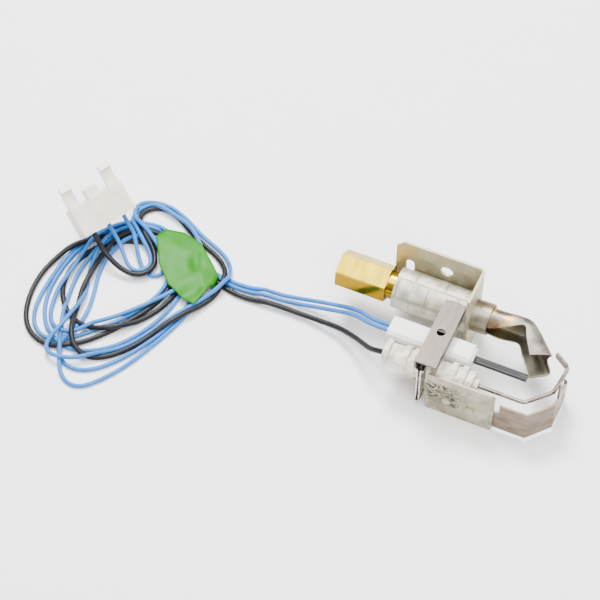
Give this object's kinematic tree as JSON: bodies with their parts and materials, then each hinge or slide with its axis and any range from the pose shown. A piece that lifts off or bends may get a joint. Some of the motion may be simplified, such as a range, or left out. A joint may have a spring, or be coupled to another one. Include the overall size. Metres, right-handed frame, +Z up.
{
  "type": "gas pilot burner with hot surface igniter and flame rod",
  "caption": "Gas pilot burner on an L bracket with brass gas inlet, flame hood, ceramic igniter bar, bent flame rod, ground band and a coiled lead harness ending in a nylon plug.",
  "frame": {"origin": "bottom centre of the burner head's box, without the leads, on the surface it lies on", "axes": "+X along the gas flow from inlet to flame, +Z up, +Y towards the back plate"},
  "size_m": [0.2106, 0.0982, 0.035],
  "materials": {
    "zinc_sheet": "matt yellowed zinc plating",
    "barrel_metal": "matt whitish plating with staking marks",
    "collar_metal": "satin, browned by heat at the top",
    "tinted_steel": "stainless with gold and brown heat tint",
    "stainless": "satin stainless",
    "band_steel": "satin, warm heat tint",
    "rod_steel": "satin",
    "brass": "bright machined",
    "white_ceramic": "smooth white ceramic",
    "rough_ceramic": "rough cream ceramic",
    "element": "dark ceramic with lengthwise grooves",
    "tinned": "tin plated",
    "blue_wire": "satin insulation",
    "black_wire": "satin insulation",
    "green_tape": "glossy tape",
    "nylon": "natural nylon, slightly see-through"
  },
  "bodies": {
    "burner": {"mounting_bracket": "zinc_sheet", "burner_body": "barrel_metal", "burner_tube": "tinted_steel", "burner_collar": "collar_metal", "flame_hood": "tinted_steel", "inlet_fitting": "brass", "gas_orifice": "brass", "clamp_strap": "stainless", "electrode_bracket": "zinc_sheet", "bracket_rivets": "zinc_sheet", "ground_band": "band_steel", "igniter_insulator": "white_ceramic", "igniter_element": "element", "igniter_terminals": "tinned", "sensor_insulator": "rough_ceramic", "flame_rod": "rod_steel", "rod_terminal": "tinned", "lead_blue_a": "blue_wire", "lead_blue_b": "blue_wire", "lead_black": "black_wire", "lead_coil": "blue_wire", "green_tape": "green_tape", "plug_tail_a": "blue_wire", "plug_tail_b": "blue_wire", "plug_tail_c": "black_wire", "plug_housing": "nylon", "plug_terminals": "tinned"},
    "clip": {"spring_clip": "stainless"},
    "latch_left": {"latch_arm_left": "nylon"},
    "latch_right": {"latch_arm_right": "nylon"}
  },
  "joints": [
    {"name": "clip_slide", "type": "slide", "parent": "burner", "child": "clip", "axis": [0, -1, 0], "range_m": [0, 0.012]},
    {"name": "latch_left_flex", "type": "hinge", "parent": "burner", "child": "latch_left", "pos_m": [-0.15418, -0.00514, 0.02056], "axis": [-0.4384, -0.8988, 0], "range_deg": [0, 6], "stiffness_Nm_per_rad": 0.02},
    {"name": "latch_right_flex", "type": "hinge", "parent": "burner", "child": "latch_right", "pos_m": [-0.14612, 0.01139, 0.02056], "axis": [-0.4384, -0.8988, 0], "range_deg": [0, 6], "stiffness_Nm_per_rad": 0.02}
  ]
}
